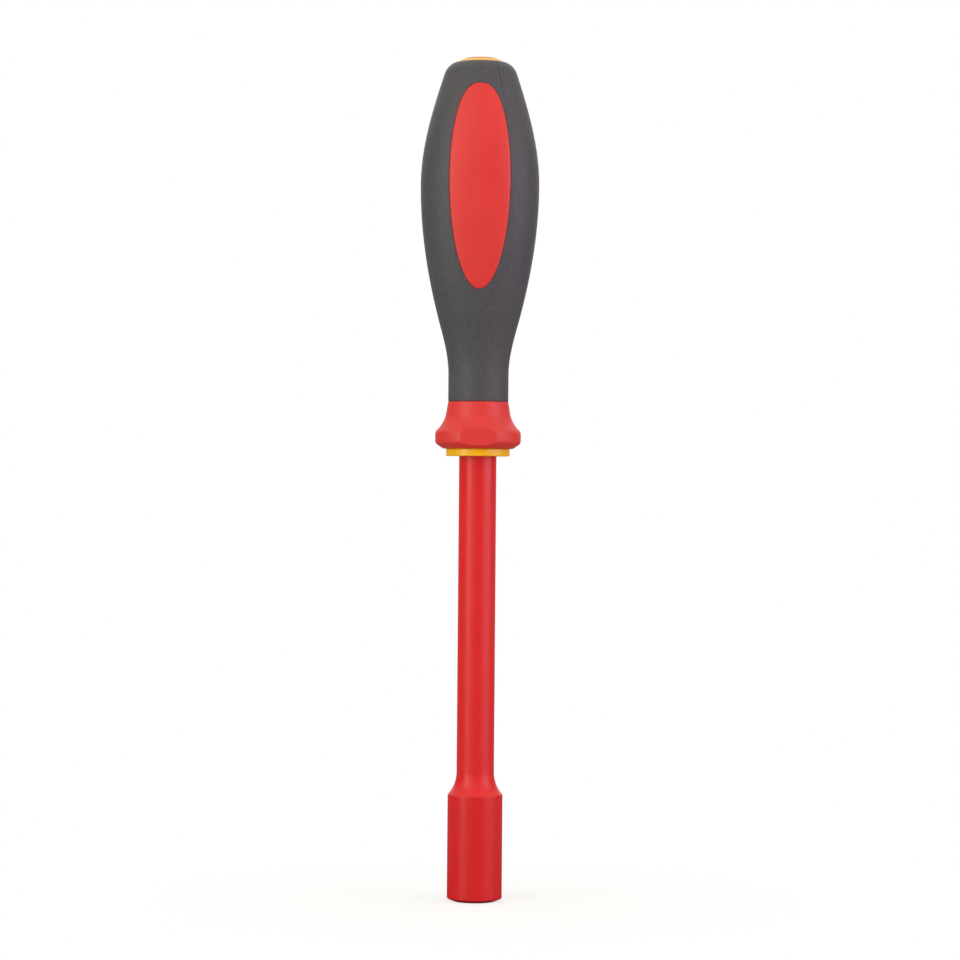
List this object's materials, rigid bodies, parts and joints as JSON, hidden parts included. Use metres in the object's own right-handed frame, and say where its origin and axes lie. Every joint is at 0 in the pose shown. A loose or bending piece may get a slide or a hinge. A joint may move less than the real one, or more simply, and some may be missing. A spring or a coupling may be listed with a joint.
{
  "type": "nut driver",
  "caption": "Insulated hand nut driver: steel hex socket on a sleeved shank, guard with anti-roll flats, tri-lobed soft grip with oval pads and a domed end cap.",
  "frame": {"origin": "centre of the socket's mouth, on the tool's axis, in the plane of the socket's end face", "axes": "+Z along the tool's axis from the socket to the end cap, -Y out of one oval pad, +X to the right of that pad"},
  "size_m": [0.0332, 0.033, 0.2371],
  "materials": {
    "steel_socket": "satin chrome plate",
    "steel_shank": "drawn and hardened",
    "sleeve_red": "moulded, satin",
    "core_yellow": "moulded, semi gloss",
    "shell_red": "moulded, satin",
    "grip_grey": "soft touch, fine spark texture",
    "cap_yellow": "moulded, semi gloss",
    "disc_red": "moulded, satin"
  },
  "bodies": {
    "root": {"socket_head": "steel_socket", "shank": "steel_shank", "blade_sleeve": "sleeve_red", "handle_core": "core_yellow", "handle_shell": "shell_red", "soft_grip": "grip_grey", "end_cap": "cap_yellow", "cap_disc": "disc_red"}
  },
  "joints": []
}
